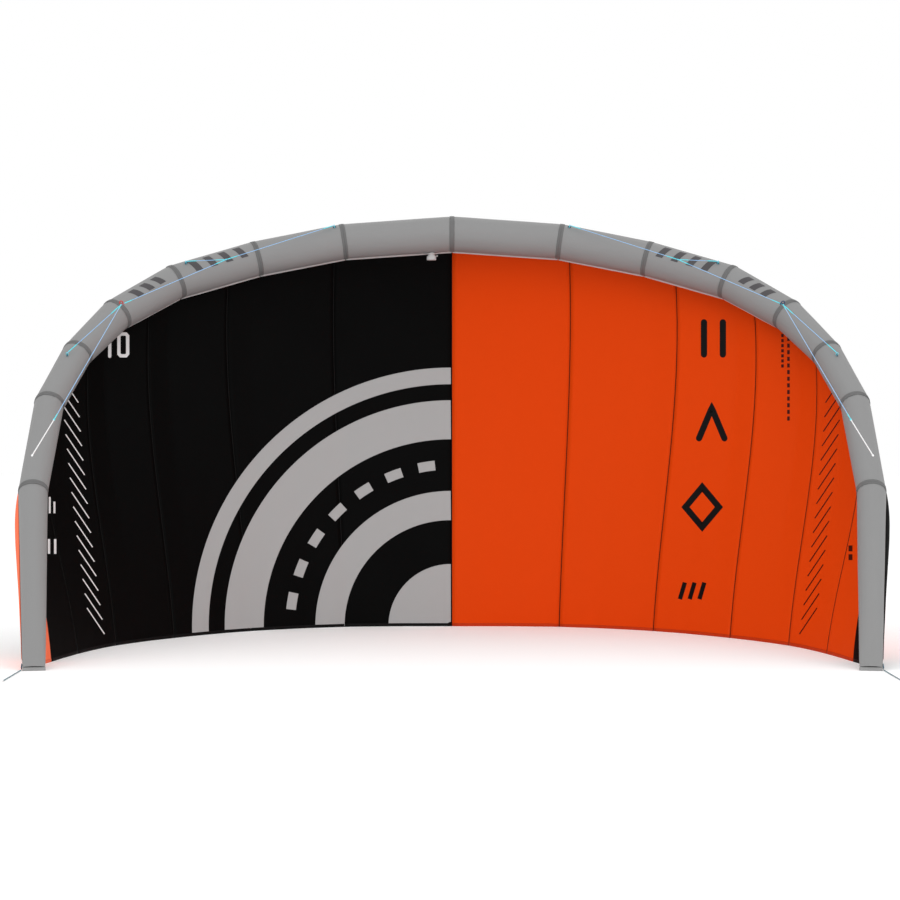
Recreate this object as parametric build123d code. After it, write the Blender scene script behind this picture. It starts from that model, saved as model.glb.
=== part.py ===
from build123d import *
import math
import os

# Inflatable kitesurf kite, strutless, standing upright on its trailing edge and tips.
# X runs along the span, +Y points to the back of the arch, +Z up to the leading edge.
# All lengths are in millimetres.

# ---------------------------------------------------------------- driving dimensions

SIDES = {"left": -1, "right": 1}

APEX_Y = 913.87           # how far the back of the arch's centre line lies behind the origin
FLOOR_LIFT = 0.06         # raises the whole kite so that its lowest edge is at height 0

# Leading edge joints from the centre to the tip:
# half-span, height, distance in front of the apex, tube radius.
LE_JOINTS = [
    (0.0, 2013.0, 0.0, 89.5),
    (555.0, 1972.0, 20.0, 89.0),
    (994.0, 1878.0, 90.0, 87.5),
    (1388.0, 1749.0, 220.0, 86.0),
    (1650.0, 1570.0, 420.0, 80.5),
    (1796.0, 1364.0, 680.0, 71.0),
    (1868.0, 1117.0, 990.0, 67.5),
    (1853.0, 722.0, 1420.0, 64.0),
    (1718.0, 13.0, 2052.0, 47.0),
]

# Panel seams from the centre to the tip:
# place along the leading edge in joint numbers, trailing edge half-span and distance forward.
SEAMS = [
    (0.0, 0.0, 0.0),
    (1.09, 548.0, 42.0),
    (2.30, 1004.0, 280.0),
    (3.31, 1336.0, 645.0),
    (4.40, 1554.0, 1020.0),
    (5.65, 1659.0, 1395.0),
    (6.00, 1711.0, 1725.0),
    (7.95, 1760.0, 2024.0),
]
TE_HEIGHT = 1.0           # height of the canopy's trailing edge line above the floor
# Camber of each seam, from the centre to the tip, as a share of its chord.
CAMBERS = [0.090, 0.080, 0.058, 0.042, 0.038, 0.046, 0.052, 0.020]
CAMBER_HANDLE = 2.25      # control point height that makes the camber line peak at a third

CLOTH = 0.8               # canopy cloth thickness
CANOPY_GAP = 2.4          # air between the tube and the inner face of the cloth sewn to it
SPAN_STEP = 0.3           # in seams, how far the span's direction is taken to each side
TIP_TURN_START = 6.0      # seam from which the outward direction turns level
TIP_TURN_END = 6.4        # last station where it is square to the chord before turning
PANEL_GAP = 0.5           # half the gap that the seam tapes bridge
TAPE_WIDTH = 12.0         # panel seam tape
TAPE_THICK = 0.6
TAPE_LIFT = 0.25          # air between the cloth and what is sewn on it
WIDEST_RULED_STRIP = 0.17  # in seams, before another rib is put in between
HEM_WIDTH = 16.0          # folded hem on the trailing edge
HEM_THICK = 1.6
HEM_CUT = 0.004           # share of a panel left free at each seam
HEM_STEPS = 20            # straight runs of a hem in one panel
WIDTH_STEP = 0.02         # in seams, over which the width of a panel is measured

TUBE_WALL = 1.2           # woven sleeve of the leading edge
MITRE_OVERSHOOT = 0.15    # share by which a tube length runs past its mitre planes before it is cut
BORE_OVERSHOOT = 0.2      # the same for what hollows it out
TIP_OVERSHOOT = 0.01      # the same at the pinched tip
JOINT_GAP = 0.2           # half the gap between two tube segments
BAND_WIDTH = 24.0         # tape over each tube joint
BAND_LIFT = 0.6
BAND_THICK = 0.9
BLADDER_GAP = 3.0         # between sleeve and bladder
BLADDER_WALL = 0.6
SEAM_STRIP_WIDTH = 11.0   # closing seam that stands out under the tube
SEAM_STRIP_THICK = 1.0
SEAM_STRIP_ANGLE = 22.0   # degrees behind the tube's lowest line
SEAM_STRIP_LIFT = 2.0     # clears the joint bands
SEAM_STRIP_CUT = 0.004    # share of a segment left free at each joint
SEAM_STRIP_END = 0.90     # share of the last segment that the strip reaches
SEAM_STRIP_STEPS = 6      # straight runs of the strip along one segment

LAST_SEGMENT = 7
PINCH_START = 0.55        # share of the last segment where the tube stops being round
PINCH_POWER = 1.6
PINCH_STEPS = 6
TIP_SEGMENT_START = 9.0   # square end of the last segment, hidden by the band at its joint
ROUND_OFFSET = 0.001      # keeps an oval's second radius just under its first
BLADDER_END = 0.52        # share of the last segment that the bladder reaches
BLADDER_END_WALL = 0.002  # its end wall, as a share of the last segment
TIP_HALF_HEIGHT = 9.0     # half thickness of the tube where it is pinched shut
TIP_FLAP_LENGTH = 16.0
TIP_FLAP_THICK = 3.0
TIP_FLAP_GAP = 0.3        # from the pinched end of the tube to the flap

VALVE_SIDE = -1           # the side of the kite that carries the inflation valve
VALVE_OUT = 105.0         # the valve's distance from the centre line
VALVE_HOLE_CLEARANCE = 0.6  # hole in the sleeve around the neck
VALVE_BLADDER_CLEARANCE = 1.5
VALVE_BORE_R = 12.0
VALVE_MOUTH_R = 14.5
VALVE_NECK_R = 18.0
VALVE_NECK_BELOW = 26.0   # how far the neck stands out below the tube
VALVE_NECK_ABOVE = 8.0    # how far it reaches into the tube
VALVE_MOUTH_DEPTH = 6.0
VALVE_FLANGE_R = 31.0
VALVE_FLANGE_THICK = 2.0
CAP_R = 24.0
CAP_BODY = 11.0           # cap below the end of the neck
CAP_SKIRT = 10.0          # cap around the neck
CAP_CLEAR = 2.0
CAP_HINGE_OUT = 29.0      # hinge pin's distance from the valve axis
CAP_PIN_R = 1.5
CAP_RUNNING_CLEARANCE = 0.06
CAP_RIBS = 24              # grip grooves around the cap
CAP_GROOVE_R = 1.5
CAP_TOP_GAP = 1.0          # between the cap's rim and the hinge ears' height
CAP_FLOOR_GAP = 0.5        # between the end of the neck and the inside of the cap
PLUG_R = 11.0              # plug of the cap, inside the neck's mouth
PLUG_DEPTH = 3.0
STRAP_LENGTH = 9.0         # arm from the cap to its eye
STRAP_WIDTH = 8.0
STRAP_THICK = 3.0
STRAP_EYE_R = 3.4
EAR_LENGTH = 14.0          # ears of the neck that carry the hinge pin
EAR_THICK = 3.0
EAR_HEIGHT = 12.0
EAR_SPREAD = 6.0           # from the middle to each ear's middle
EAR_BEYOND = 3.0           # ear past the pin's centre
PIN_HALF = 8.5             # half length of the hinge pin
PIN_PRESS = 0.02           # how much thinner the pin is than its hole
FLANGE_DROP = 4.2          # from the tube's lower side down to the flange
FLAP_R = 13.5
FLAP_THICK = 1.0
FLAP_GAP = 0.1             # between the neck and the flap resting over it
FLAP_HINGE_OUT = 16.0      # the flap's bending line, from the valve axis
FLAP_TAB_WIDTH = 8.0
PATCH_HALF = 48.0          # half size of the patch around the valve
PATCH_LIFT = 0.5
PATCH_THICK = 0.8
PATCH_CLEARANCE = 0.4      # from the neck to the edge of the patch's hole
CUT_PAST = 1.0             # how far a cutting body runs past what it cuts
FAR_CUT = 60.0             # the same where there is only air

LINE_R = 1.5              # bridle line radius
PIGTAIL_R = 2.2           # pigtail radius
CORD_END_GAP = 2.5        # from the middle of a loop or knot to the plain cord
SLEEVE_R = 2.3            # spliced, doubled end of a bridle line
SLEEVE_LENGTH = 60.0
SLEEVE_FROM_END = 8.0
SLEEVE_CLEARANCE = 0.1    # between a sleeve and the line through it
TAB_WIDTH = 16.0
TAB_THICK = 2.0
TAB_LIFT = 1.3            # from the tube to the foot of a tab
TAB_JOINTS = (1.08, 2.84, 5.28)  # joint numbers of the bridle tabs
REAR_TAB_TURN = 0.6       # how far the rear line tab is turned from upright towards level
TAB_SHORT = 6.0           # webbing stops this far short of the cord's end

# Bridle points of one side: half-span, height, distance in front of the apex.
BRIDLE_A = (599.0, 2048.0, 86.0)
BRIDLE_B = (1331.0, 1848.0, 266.0)
BRIDLE_C = (1818.0, 1362.0, 820.0)
BRIDLE_J1 = (1117.0, 1846.0, 375.0)
BRIDLE_J2 = (1579.0, 1598.0, 720.0)
BRIDLE_E = (1630.0, 1029.0, 2080.0)
BRIDLE_F = (1639.0, 882.0, 2470.0)

REAR_TAB_FOOT = (1769.0, 24.0, 2044.0)
REAR_START = (1769.0, 2.6, 2060.0)
REAR_END = (1757.0, 2.6, 2472.0)


# ---------------------------------------------------------------- helpers

def place(side, half_span, height, forward):
    """A point of one side in the kite's frame."""
    return Vector(side * half_span, APEX_Y - forward, height + FLOOR_LIFT)


def mix(a, b, share):
    return a + (b - a) * share


def le_axis(side, joint):
    """Centre line point and radius of the leading edge at a joint number."""
    first = min(int(joint), len(LE_JOINTS) - 2)
    share = joint - first
    low = LE_JOINTS[first]
    high = LE_JOINTS[first + 1]
    x, z, forward, radius = [mix(a, b, share) for a, b in zip(low, high)]
    return place(side, x, z, forward), radius


def le_direction(side, joint):
    """Unit vector along the tube, from the centre towards the tip."""
    first = min(int(joint), len(LE_JOINTS) - 2)
    start, _ = le_axis(side, first)
    end, _ = le_axis(side, first + 1)
    return (end - start).normalized()


def joint_direction(side, joint):
    """Direction of the tube at a joint number, turning evenly between its joints."""
    first = min(int(joint), len(LE_JOINTS) - 2)
    share = joint - first
    turned = mix(mitre_normal(side, first), mitre_normal(side, first + 1), share)
    return turned.normalized()


def mitre_normal(side, joint):
    """Normal of the mitre plane at a whole joint number, facing the tip."""
    if joint == 0:
        return Vector(side, 0, 0)
    before = le_direction(side, joint - 1)
    if joint >= len(LE_JOINTS) - 1:
        return before
    return (before + le_direction(side, joint)).normalized()


def seam_value(column, station):
    """One column of the seam table, smoothly interpolated between seams."""
    last = len(SEAMS) - 1
    first = min(int(station), last - 1)
    t = station - first
    p1 = SEAMS[first][column]
    p2 = SEAMS[first + 1][column]
    mirror_sign = -1 if column == 1 else 1
    before = SEAMS[first - 1][column] if first > 0 else mirror_sign * SEAMS[1][column]
    after = SEAMS[first + 2][column] if first + 2 <= last else 2 * p2 - p1
    slope1 = (p2 - before) / 2
    slope2 = (after - p1) / 2
    return (
        (2 * t**3 - 3 * t**2 + 1) * p1
        + (t**3 - 2 * t**2 + t) * slope1
        + (3 * t**2 - 2 * t**3) * p2
        + (t**3 - t**2) * slope2
    )


def seam_joint(station):
    """Where a canopy station meets the leading edge, in joint numbers."""
    first = min(int(station), len(SEAMS) - 2)
    return mix(SEAMS[first][0], SEAMS[first + 1][0], station - first)


def station_of_joint(joint):
    """Canopy station that meets the leading edge at a joint number."""
    for first in range(len(SEAMS) - 1):
        low = SEAMS[first][0]
        high = SEAMS[first + 1][0]
        if joint <= high:
            return first + (joint - low) / (high - low)
    return float(len(SEAMS) - 1)


def te_point(side, station):
    return place(side, seam_value(1, station), TE_HEIGHT, seam_value(2, station))


def camber_share(station):
    """Camber of the canopy at a station, as a share of the chord."""
    first = min(int(station), len(CAMBERS) - 2)
    return mix(CAMBERS[first], CAMBERS[first + 1], station - first)


def outward(side, station):
    """Unit vector out of the arch, square to the chord and to the span; it turns level at the tip."""
    last = len(SEAMS) - 1
    square_at = min(station, TIP_TURN_END)
    low = max(square_at - SPAN_STEP, 0.0)
    high = min(square_at + SPAN_STEP, last)
    le_low, _ = le_axis(side, seam_joint(low))
    le_high, _ = le_axis(side, seam_joint(high))
    span = (le_high + te_point(side, high)) - (le_low + te_point(side, low))
    if station == 0:
        span = Vector(side, 0, 0)
    here, _ = le_axis(side, seam_joint(square_at))
    square = span.cross(te_point(side, square_at) - here).normalized() * side
    turn = max(0.0, (station - TIP_TURN_START) / (last - TIP_TURN_START))
    return mix(square, level_across(side) * -side, turn).normalized()


def out_of_tube(side, joint):
    """Outward direction at a joint number, square to the tube."""
    out = outward(side, station_of_joint(joint))
    along = joint_direction(side, joint)
    return (out - along * out.dot(along)).normalized()


def sewn_point(side, station):
    """Where the canopy is sewn to the outside of the tube."""
    joint = seam_joint(station)
    centre, radius = le_axis(side, joint)
    out = out_of_tube(side, joint)
    slant = out.dot(le_direction(side, joint))
    return centre + out * ((radius + CANOPY_GAP) / math.sqrt(1 - slant**2))


def rib_controls(side, station, lift):
    """Four control points of the smooth, cambered chord line at one rib."""
    start = sewn_point(side, station)
    end = te_point(side, station)
    out = outward(side, station)
    camber = camber_share(station) * (end - start).length
    heights = [0.0, camber * CAMBER_HANDLE, 0.0, 0.0]
    return [start + (end - start) * (i / 3) + out * (h + lift) for i, h in enumerate(heights)]


def rib_stations():
    """Stations with a full canopy rib: seams, tube joints and the middles between them."""
    last = len(SEAMS) - 1
    stations = {float(seam) for seam in range(last + 1)}
    stations.update(round(station_of_joint(joint), 6) for joint in range(1, LAST_SEGMENT + 1))
    ordered = sorted(stations)
    middles = [(a + b) / 2 for a, b in zip(ordered, ordered[1:]) if b - a > WIDEST_RULED_STRIP]
    return sorted(stations.union(middles))


def canopy_controls(side, station, lift=0.0):
    """Control points at any station, ruled between ribs; negative stations lie across the centre."""
    if station < 0:
        side = -side
        station = -station
    for low, high in zip(RIBS, RIBS[1:]):
        if station <= high:
            break
    share = (station - low) / (high - low)
    pairs = zip(rib_controls(side, low, lift), rib_controls(side, high, lift))
    return [mix(a, b, share) for a, b in pairs]


def after_share(controls, share):
    """Control points of the part of a curve that follows a share of it."""
    rows = [controls]
    while len(rows[-1]) > 1:
        rows.append([mix(a, b, share) for a, b in zip(rows[-1], rows[-1][1:])])
    return [row[-1] for row in reversed(rows)]


def rib_section(side, station, low, high, from_share=0.0):
    """Two facing chordwise curves and their end points."""
    curves = []
    for lift in (low, high):
        controls = after_share(canopy_controls(side, station, lift), from_share)
        curves.append((Edge.make_bezier(*controls), controls[0], controls[-1]))
    return curves


def thin_solid(sections):
    """Closed solid ruled from one rib section to the next."""
    faces = []
    for ends in (sections[0], sections[-1]):
        faces.append(Face.make_surface_from_curves(ends[0][0], ends[1][0]))
    for first, second in zip(sections, sections[1:]):
        for skin in (0, 1):
            faces.append(Face.make_surface_from_curves(first[skin][0], second[skin][0]))
        for tip in (1, 2):
            inner = Edge.make_line(first[0][tip], second[0][tip])
            outer = Edge.make_line(first[1][tip], second[1][tip])
            faces.append(Face.make_surface_from_curves(inner, outer))
    return Solid(Shell(faces))


def strip_width(side, station, way):
    """Width of the canopy per unit of station next to a seam, at half chord."""
    step = way * WIDTH_STEP
    near = after_share(canopy_controls(side, station), 0.5)[0]
    far = after_share(canopy_controls(side, station + step), 0.5)[0]
    return (far - near).length / abs(step)


def frustum(start, end, radius_start, radius_end):
    """Solid cone frustum between two points."""
    axis = end - start
    plane = Plane(origin=start, z_dir=axis)
    if abs(radius_start - radius_end) < 1e-6:
        return Solid.make_cylinder(radius_start, axis.length, plane)
    return Solid.make_cone(radius_start, radius_end, axis.length, plane)


def joint_plane(side, joint):
    """Mitre plane of a tube joint, facing the tip."""
    centre, _ = le_axis(side, joint)
    return Plane(origin=centre, z_dir=mitre_normal(side, joint))


def segment_frustum(side, joint, grow, start_share, end_share):
    """Cone along one tube segment, with its radius grown, between two shares of its length."""
    start, radius_start = le_axis(side, joint)
    end, radius_end = le_axis(side, joint + 1)
    return frustum(
        start + (end - start) * start_share,
        start + (end - start) * end_share,
        mix(radius_start, radius_end, start_share) + grow,
        mix(radius_start, radius_end, end_share) + grow,
    )


def mitred_segment(side, joint, grow, gap):
    """One tube segment between its two mitre planes."""
    solid = segment_frustum(side, joint, grow, -MITRE_OVERSHOOT, 1 + MITRE_OVERSHOOT)
    solid = solid.split(joint_plane(side, joint).offset(gap), keep=Keep.TOP)
    return solid.split(joint_plane(side, joint + 1).offset(-gap), keep=Keep.BOTTOM)


def pinched_section(side, share, grow):
    """Oval section of the last tube segment, level along its long way."""
    centre, radius = le_axis(side, LAST_SEGMENT + share)
    flatness = max(0.0, (share - PINCH_START) / (1 - PINCH_START)) ** PINCH_POWER
    thin = mix(radius, TIP_HALF_HEIGHT, flatness)
    plane = Plane(origin=centre, x_dir=level_across(side), z_dir=le_direction(side, LAST_SEGMENT))
    return Wire([Edge.make_ellipse(radius + grow, thin + grow - ROUND_OFFSET, plane)])


def level_across(side):
    """Level direction across the last tube segment."""
    axis = le_direction(side, LAST_SEGMENT)
    return axis.cross(Vector(0, 0, 1)).normalized()


def tip_segment_between(side, grow, first, last):
    """Last tube segment, round at the joint and pinched flat at the tip."""
    shares = [first, PINCH_START]
    shares += [mix(PINCH_START, last, i / PINCH_STEPS) for i in range(1, PINCH_STEPS + 1)]
    sections = [pinched_section(side, share, grow) for share in shares]
    return Solid.make_loft(sections, ruled=True)


def as_solid(shape):
    """The single solid of a boolean or split result."""
    return max(shape.solids(), key=lambda solid: solid.volume)


def le_segment(side, joint):
    """One straight sleeve segment of the leading edge."""
    if joint < LAST_SEGMENT:
        outer = mitred_segment(side, joint, 0.0, JOINT_GAP)
        inner = segment_frustum(side, joint, -TUBE_WALL, -BORE_OVERSHOOT, 1 + BORE_OVERSHOOT)
        tube = outer - inner
    else:
        start, _ = le_axis(side, joint)
        end, _ = le_axis(side, joint + 1)
        first = TIP_SEGMENT_START / (end - start).length
        outer = tip_segment_between(side, 0.0, first, 1.0)
        inner = tip_segment_between(side, -TUBE_WALL, first - TIP_OVERSHOOT, 1 + TIP_OVERSHOOT)
        tube = outer - inner
    if joint == 0 and side == VALVE_SIDE:
        tube = tube - valve_cylinder(VALVE_NECK_R + VALVE_HOLE_CLEARANCE, -FAR_CUT, FAR_CUT)
    return as_solid(tube)


def bend_at(side, joint):
    """Tube directions before and after a joint, the way the bend opens and half its angle."""
    after = le_direction(side, joint)
    before = le_direction(-side, 0) * -1 if joint == 0 else le_direction(side, joint - 1)
    opening = (before - after).normalized()
    half_angle = math.acos(min(1.0, before.dot(after))) / 2
    return before, after, opening, half_angle


def round_section(centre, axis, across, radius, stretch=1.0):
    """Round or slightly oval closed section, square to an axis."""
    across = (across - axis * across.dot(axis)).normalized()
    plane = Plane(origin=centre, x_dir=across, z_dir=axis)
    return Wire([Edge.make_ellipse(radius * stretch, radius - ROUND_OFFSET, plane)])


def band_rings(side, joint, grow):
    """Three round edges of a bent stub over one tube joint."""
    before, after, opening, half_angle = bend_at(side, joint)
    half_width = BAND_WIDTH / 2
    centre, radius = le_axis(side, joint)
    before_radius = radius + grow
    after_radius = radius + grow
    if joint > 0:
        start, earlier = le_axis(side, joint - 1)
        before_radius += (earlier - radius) * half_width / (centre - start).length
    end, later = le_axis(side, joint + 1)
    after_radius += (later - radius) * half_width / (end - centre).length
    middle_axis = (before + after).normalized()
    return [
        round_section(centre - before * half_width, before, opening, before_radius),
        round_section(centre, middle_axis, opening, radius + grow, 1 / math.cos(half_angle)),
        round_section(centre + after * half_width, after, opening, after_radius),
    ]


def le_band(side, joint):
    """Tape ring over one tube joint, bent like the tube."""
    outer = band_rings(side, joint, BAND_LIFT + BAND_THICK)
    inner = band_rings(side, joint, BAND_LIFT)
    faces = [ruled_face(a, b) for rings in (outer, inner) for a, b in zip(rings, rings[1:])]
    faces += [Face(outer[0], [inner[0]]), Face(outer[-1], [inner[-1]])]
    return closed_solid(faces)


def ruled_face(ring, next_ring):
    """Ruled face between two closed sections of one edge each."""
    return Face.make_surface_from_curves(ring.edges()[0], next_ring.edges()[0])


def closed_solid(faces):
    """Solid inside a closed set of faces, whichever way they face."""
    solid = Solid(Shell(faces))
    return solid if solid.volume > 0 else Solid(solid.wrapped.Reversed())


def bladder_body(grow, end_share):
    """Solid chain of tube lengths from tip to tip."""
    sections = []
    up = Vector(0, 0, 1)
    for side in (-1, 1):
        half = []
        for joint in range(1, LAST_SEGMENT + 1):
            centre, radius = le_axis(side, joint)
            half.append((centre, mitre_normal(side, joint) * side, radius))
        centre, radius = le_axis(side, LAST_SEGMENT + end_share)
        half.append((centre, le_direction(side, LAST_SEGMENT) * side, radius))
        sections.append(half)
    centre, radius = le_axis(1, 0)
    chain = sections[0][::-1] + [(centre, Vector(1, 0, 0), radius)] + sections[1]
    rings = [round_section(c, axis, up, r + grow) for c, axis, r in chain]
    faces = [ruled_face(a, b) for a, b in zip(rings, rings[1:])]
    faces += [Face(rings[0]), Face(rings[-1])]
    return closed_solid(faces)


def bladder():
    """One-piece air bladder inside the whole leading edge, closed at both ends."""
    grow = -TUBE_WALL - BLADDER_GAP
    outer = bladder_body(grow, BLADDER_END)
    inner = bladder_body(grow - BLADDER_WALL, BLADDER_END - BLADDER_END_WALL)
    shell = outer - inner
    return as_solid(shell - valve_cylinder(VALVE_NECK_R + VALVE_BLADDER_CLEARANCE, -FAR_CUT, FAR_CUT))


def tube_reach(side, joint, direction):
    """Distance from the tube's axis to its surface in a direction square to the axis."""
    _, radius = le_axis(side, joint)
    share = joint - LAST_SEGMENT
    if share <= PINCH_START:
        return radius
    flatness = ((share - PINCH_START) / (1 - PINCH_START)) ** PINCH_POWER
    thin = mix(radius, TIP_HALF_HEIGHT, flatness)
    wide_part = direction.dot(level_across(side))
    thin_part = math.sqrt(max(0.0, 1 - wide_part**2))
    return 1 / math.sqrt((wide_part / radius) ** 2 + (thin_part / thin) ** 2)


def closing_strip_section(side, joint):
    """Cross-section of the closing seam at a joint number."""
    angle = math.radians(SEAM_STRIP_ANGLE)
    centre, _ = le_axis(side, joint)
    out = out_of_tube(side, joint)
    down = joint_direction(side, joint).cross(out).normalized()
    down = down if down.Z < 0 else down * -1
    radial = down * math.cos(angle) + out * math.sin(angle)
    across = (out * math.cos(angle) - down * math.sin(angle)) * (SEAM_STRIP_THICK / 2)
    reach = tube_reach(side, joint, radial)
    foot = centre + radial * (reach + SEAM_STRIP_LIFT)
    edge = centre + radial * (reach + SEAM_STRIP_WIDTH)
    return Wire.make_polygon([foot - across, edge - across, edge + across, foot + across], close=True)


def closing_strip(side):
    """Closing seam of the sleeve, standing out under the tube just in front of the canopy."""
    strips = []
    for joint in range(LAST_SEGMENT + 1):
        last = SEAM_STRIP_END if joint == LAST_SEGMENT else 1 - SEAM_STRIP_CUT
        shares = [mix(SEAM_STRIP_CUT, last, i / SEAM_STRIP_STEPS) for i in range(SEAM_STRIP_STEPS + 1)]
        sections = [closing_strip_section(side, joint + share) for share in shares]
        strips.append(Solid.make_loft(sections, ruled=True))
    return strips


def tip_flap(side):
    """Flat webbing that closes the pinched end of the tube."""
    end, radius = le_axis(side, LAST_SEGMENT + 1)
    axis = le_direction(side, LAST_SEGMENT)
    across = level_across(side)
    plane = Plane(origin=end + axis * TIP_FLAP_GAP, x_dir=across, z_dir=axis)
    corner = plane.origin - plane.x_dir * radius - plane.y_dir * TIP_FLAP_THICK / 2
    corner_plane = Plane(origin=corner, x_dir=across, z_dir=axis)
    return Solid.make_box(2 * radius, TIP_FLAP_THICK, TIP_FLAP_LENGTH, corner_plane)


# ---------------------------------------------------------------- canopy

def canopy_panel(side, seam):
    """Cloth panel between two seams, ruled between its ribs."""
    first = seam + PANEL_GAP / strip_width(side, seam, 1)
    last = seam + 1.0
    if seam + 1 < len(SEAMS) - 1:
        last -= PANEL_GAP / strip_width(side, seam + 1, -1)
    stations = [first] + [s for s in RIBS if seam < s < seam + 1] + [last]
    return thin_solid([rib_section(side, s, 0.0, CLOTH) for s in stations])


def seam_tape(side, seam):
    """Tape over one panel seam, on the outside of the cloth."""
    low = CLOTH + TAPE_LIFT
    before = seam - TAPE_WIDTH / 2 / strip_width(side, seam, -1)
    after = seam + TAPE_WIDTH / 2 / strip_width(side, seam, 1)
    sections = [rib_section(side, s, low, low + TAPE_THICK) for s in (before, seam, after)]
    return thin_solid(sections)


def te_hem(side, seam):
    """Folded hem on the inside of the trailing edge of one panel."""
    first = seam + HEM_CUT
    last = seam + 1 - HEM_CUT
    stations = {mix(first, last, i / HEM_STEPS) for i in range(HEM_STEPS + 1)}
    stations.update(s for s in RIBS if first < s < last)
    sections = []
    for station in sorted(stations):
        controls = canopy_controls(side, station)
        from_share = 1.0 - HEM_WIDTH / (controls[-1] - controls[0]).length
        sections.append(rib_section(side, station, -TAPE_LIFT - HEM_THICK, -TAPE_LIFT, from_share))
    return thin_solid(sections)


RIBS = rib_stations()


# ---------------------------------------------------------------- inflation valve

def valve_origin():
    """Point of the tube's lower side on the valve axis."""
    centre, radius = le_axis(VALVE_SIDE, VALVE_OUT / LE_JOINTS[1][0])
    return Vector(centre.X, centre.Y, centre.Z - radius)


def valve_cylinder(radius, low, high):
    """Cylinder on the valve axis between two heights measured from the tube's lower side."""
    origin = valve_origin()
    base = Plane(origin=(origin.X, origin.Y, origin.Z + low))
    return Solid.make_cylinder(radius, high - low, base)


def valve_neck():
    """Screwed valve neck with its flange, and the two ears that carry the cap's hinge pin."""
    low = -VALVE_NECK_BELOW
    high = VALVE_NECK_ABOVE
    body = valve_cylinder(VALVE_NECK_R, low, high)
    body = body + valve_cylinder(VALVE_FLANGE_R, -FLANGE_DROP - VALVE_FLANGE_THICK, -FLANGE_DROP)
    pin = hinge_point()
    for way in (-1, 1):
        corner = (
            pin.X - EAR_LENGTH + EAR_BEYOND,
            pin.Y + way * EAR_SPREAD - EAR_THICK / 2,
            pin.Z - EAR_BEYOND,
        )
        body = body + Solid.make_box(EAR_LENGTH, EAR_THICK, EAR_HEIGHT, Plane(origin=corner))
    body = body - valve_cylinder(VALVE_BORE_R, low - CUT_PAST, high + CUT_PAST)
    body = body - valve_cylinder(VALVE_MOUTH_R, low - CUT_PAST, low + VALVE_MOUTH_DEPTH)
    body = body - hinge_cylinder(CAP_PIN_R, PIN_HALF + CUT_PAST)
    return as_solid(body)


def hinge_point():
    """Centre of the cap's hinge pin."""
    origin = valve_origin()
    height = origin.Z - VALVE_NECK_BELOW + CAP_SKIRT
    return Vector(origin.X + CAP_HINGE_OUT, origin.Y, height)


def hinge_cylinder(radius, half_length):
    """Cylinder along Y about the middle of the hinge pin."""
    pin = hinge_point()
    base = Plane(origin=(pin.X, pin.Y - half_length, pin.Z), z_dir=(0, 1, 0))
    return Solid.make_cylinder(radius, 2 * half_length, base)


def valve_pin():
    return hinge_cylinder(CAP_PIN_R - PIN_PRESS, PIN_HALF)


def valve_cap():
    """Knurled cap with a shallow plug and a strap that ends in an eye on the hinge pin."""
    neck_end = -VALVE_NECK_BELOW
    low = neck_end - CAP_BODY
    top = neck_end + CAP_SKIRT - CAP_TOP_GAP
    body = valve_cylinder(CAP_R, low, top)
    origin = valve_origin()
    for i in range(CAP_RIBS):
        angle = 2 * math.pi * i / CAP_RIBS
        foot = (
            origin.X + math.cos(angle) * CAP_R,
            origin.Y + math.sin(angle) * CAP_R,
            origin.Z + low - CUT_PAST,
        )
        body = body - Solid.make_cylinder(CAP_GROOVE_R, CAP_BODY + CUT_PAST + PLUG_DEPTH, Plane(origin=foot))
    body = body - valve_cylinder(VALVE_NECK_R + CAP_CLEAR, neck_end - CAP_FLOOR_GAP, top + CUT_PAST)
    plug = valve_cylinder(PLUG_R, neck_end - CUT_PAST, neck_end + PLUG_DEPTH)
    pin = hinge_point()
    corner = (pin.X - STRAP_LENGTH + CAP_FLOOR_GAP, pin.Y - STRAP_WIDTH / 2, pin.Z - STRAP_THICK / 2)
    strap = Solid.make_box(STRAP_LENGTH, STRAP_WIDTH, STRAP_THICK, Plane(origin=corner))
    eye = hinge_cylinder(STRAP_EYE_R, STRAP_WIDTH / 2)
    clear = valve_cylinder(VALVE_NECK_R + CAP_CLEAR, neck_end - CAP_FLOOR_GAP, FAR_CUT)
    body = body + ((strap + eye) - clear) + plug
    hole = hinge_cylinder(CAP_PIN_R + CAP_RUNNING_CLEARANCE, STRAP_WIDTH / 2 + CUT_PAST)
    return as_solid(body - hole)


def valve_flap():
    """Non-return flap that rests on the inner end of the neck."""
    low = VALVE_NECK_ABOVE + FLAP_GAP
    disc = valve_cylinder(FLAP_R, low, low + FLAP_THICK)
    origin = valve_origin()
    corner = (origin.X - FLAP_HINGE_OUT, origin.Y - FLAP_TAB_WIDTH / 2, origin.Z + low)
    tab_length = 2 * (FLAP_HINGE_OUT - FLAP_R)
    tab = Solid.make_box(tab_length, FLAP_TAB_WIDTH, FLAP_THICK, Plane(origin=corner))
    return as_solid(disc + tab)


def valve_patch():
    """Reinforcing patch around the valve, wrapped on the tube."""
    centre, radius = le_axis(VALVE_SIDE, VALVE_OUT / LE_JOINTS[1][0])
    along = le_direction(VALVE_SIDE, 0)
    start = centre - along * PATCH_HALF
    end = centre + along * PATCH_HALF
    outer = radius + PATCH_LIFT + PATCH_THICK
    inner = radius + PATCH_LIFT
    sheet = frustum(start, end, outer, outer)
    sheet = sheet - frustum(start - along * CUT_PAST, end + along * CUT_PAST, inner, inner)
    patch = as_solid(sheet & valve_cylinder(PATCH_HALF, -FAR_CUT, FAR_CUT))
    return as_solid(patch - valve_cylinder(VALVE_NECK_R + PATCH_CLEARANCE, -FAR_CUT, FAR_CUT))


# ---------------------------------------------------------------- bridle

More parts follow.
